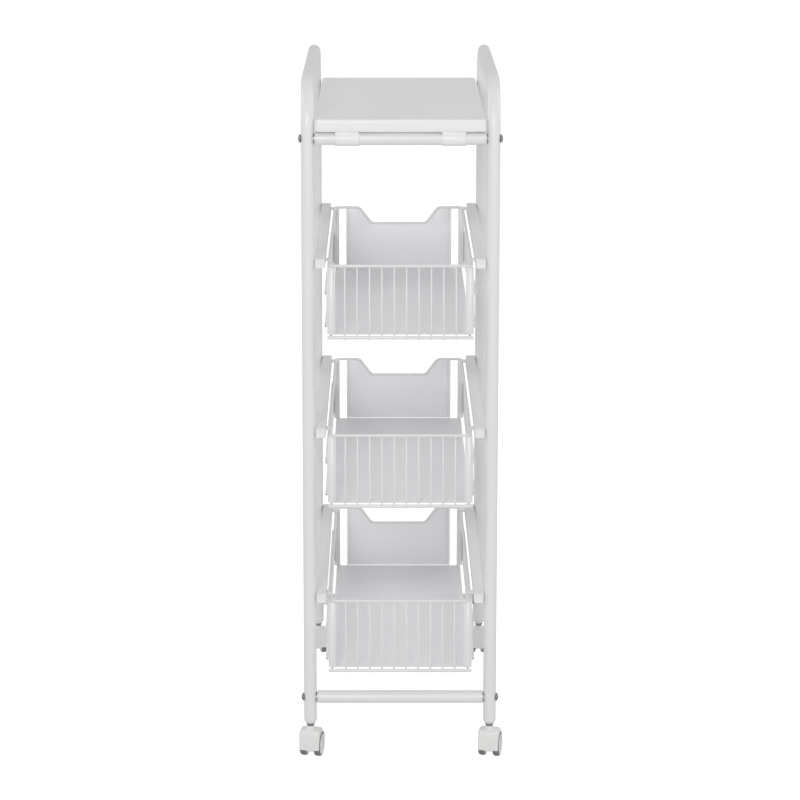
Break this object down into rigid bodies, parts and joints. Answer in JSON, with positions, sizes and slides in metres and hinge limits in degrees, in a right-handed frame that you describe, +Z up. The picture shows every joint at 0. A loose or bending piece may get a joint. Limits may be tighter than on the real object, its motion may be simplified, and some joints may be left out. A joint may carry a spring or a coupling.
{
  "type": "rolling utility cart",
  "caption": "Slim rolling utility cart with bent-tube side frames, a top tray, sliding baskets and twin-wheel swivel casters.",
  "frame": {"origin": "on the floor under the middle of the cart", "axes": "+Z up; +X to the right seen from the capped rail ends; -Y is the end with the wire grids, +Y the end with the hand notches, where the baskets pull out"},
  "size_m": [0.2626, 0.4769, 0.868],
  "materials": {
    "frame_paint": "smooth white powder coat on bent steel tube",
    "sheet_paint": "fine-textured white powder coat on folded sheet steel",
    "wire_paint": "white powder coat on welded steel wire",
    "white_plastic": "satin moulded white plastic",
    "zinc_steel": "zinc-plated steel",
    "caster_plastic": "semi-gloss moulded white nylon",
    "wheel_tread": "grey moulded tread"
  },
  "bodies": {
    "frame": {"left_side_frame": "frame_paint", "right_side_frame": "frame_paint", "top_front_crossbar": "frame_paint", "top_rear_crossbar": "frame_paint", "bottom_front_crossbar": "frame_paint", "bottom_rear_crossbar": "frame_paint", "crossbar_saddles": "white_plastic", "crossbar_screws": "zinc_steel", "post_plugs": "white_plastic", "top_tray": "sheet_paint", "rail_1_left": "frame_paint", "rail_1_right": "frame_paint", "rail_2_left": "frame_paint", "rail_2_right": "frame_paint", "rail_3_left": "frame_paint", "rail_3_right": "frame_paint", "rail_end_caps": "white_plastic", "rail_screws": "zinc_steel"},
    "basket_1": {"basket_1_floor": "sheet_paint", "basket_1_front_grid": "wire_paint", "basket_1_rim": "wire_paint", "basket_1_rear_panel": "sheet_paint", "basket_1_corner_posts": "wire_paint", "basket_1_side_bands": "sheet_paint", "basket_1_runners": "white_plastic"},
    "basket_2": {"basket_2_floor": "sheet_paint", "basket_2_front_grid": "wire_paint", "basket_2_rim": "wire_paint", "basket_2_rear_panel": "sheet_paint", "basket_2_corner_posts": "wire_paint", "basket_2_side_bands": "sheet_paint", "basket_2_runners": "white_plastic"},
    "basket_3": {"basket_3_floor": "sheet_paint", "basket_3_front_grid": "wire_paint", "basket_3_rim": "wire_paint", "basket_3_rear_panel": "sheet_paint", "basket_3_corner_posts": "wire_paint", "basket_3_side_bands": "sheet_paint", "basket_3_runners": "white_plastic"},
    "caster_front_left": {"caster_front_left_hood": "caster_plastic", "caster_front_left_stem": "zinc_steel"},
    "wheels_front_left": {"caster_front_left_axle": "zinc_steel", "caster_front_left_wheels": "caster_plastic", "caster_front_left_treads": "wheel_tread"},
    "caster_front_right": {"caster_front_right_hood": "caster_plastic", "caster_front_right_stem": "zinc_steel"},
    "wheels_front_right": {"caster_front_right_axle": "zinc_steel", "caster_front_right_wheels": "caster_plastic", "caster_front_right_treads": "wheel_tread"},
    "caster_rear_left": {"caster_rear_left_hood": "caster_plastic", "caster_rear_left_stem": "zinc_steel"},
    "wheels_rear_left": {"caster_rear_left_axle": "zinc_steel", "caster_rear_left_wheels": "caster_plastic", "caster_rear_left_treads": "wheel_tread"},
    "caster_rear_right": {"caster_rear_right_hood": "caster_plastic", "caster_rear_right_stem": "zinc_steel"},
    "wheels_rear_right": {"caster_rear_right_axle": "zinc_steel", "caster_rear_right_wheels": "caster_plastic", "caster_rear_right_treads": "wheel_tread"}
  },
  "joints": [
    {"name": "basket_1_slide", "type": "slide", "parent": "frame", "child": "basket_1", "axis": [0, 1, 0], "range_m": [0, 0.25]},
    {"name": "basket_2_slide", "type": "slide", "parent": "frame", "child": "basket_2", "axis": [0, 1, 0], "range_m": [0, 0.25]},
    {"name": "basket_3_slide", "type": "slide", "parent": "frame", "child": "basket_3", "axis": [0, 1, 0], "range_m": [0, 0.25]},
    {"name": "caster_front_left_swivel", "type": "hinge", "parent": "frame", "child": "caster_front_left", "pos_m": [-0.1135, -0.212, 0.0385], "axis": [0, 0, 1], "continuous": true},
    {"name": "caster_front_right_swivel", "type": "hinge", "parent": "frame", "child": "caster_front_right", "pos_m": [0.1135, -0.212, 0.0385], "axis": [0, 0, 1], "continuous": true},
    {"name": "caster_rear_left_swivel", "type": "hinge", "parent": "frame", "child": "caster_rear_left", "pos_m": [-0.1135, 0.212, 0.0385], "axis": [0, 0, 1], "continuous": true},
    {"name": "caster_rear_right_swivel", "type": "hinge", "parent": "frame", "child": "caster_rear_right", "pos_m": [0.1135, 0.212, 0.0385], "axis": [0, 0, 1], "continuous": true},
    {"name": "wheels_front_left_spin", "type": "hinge", "parent": "caster_front_left", "child": "wheels_front_left", "pos_m": [-0.11184, -0.20417, 0.015], "axis": [0.9781, -0.2079, 0], "continuous": true},
    {"name": "wheels_front_right_spin", "type": "hinge", "parent": "caster_front_right", "child": "wheels_front_right", "pos_m": [0.11516, -0.20417, 0.015], "axis": [0.9781, -0.2079, 0], "continuous": true},
    {"name": "wheels_rear_left_spin", "type": "hinge", "parent": "caster_rear_left", "child": "wheels_rear_left", "pos_m": [-0.11516, 0.21982, 0.015], "axis": [0.9781, 0.2079, 0], "continuous": true},
    {"name": "wheels_rear_right_spin", "type": "hinge", "parent": "caster_rear_right", "child": "wheels_rear_right", "pos_m": [0.11184, 0.21982, 0.015], "axis": [0.9781, 0.2079, 0], "continuous": true}
  ]
}
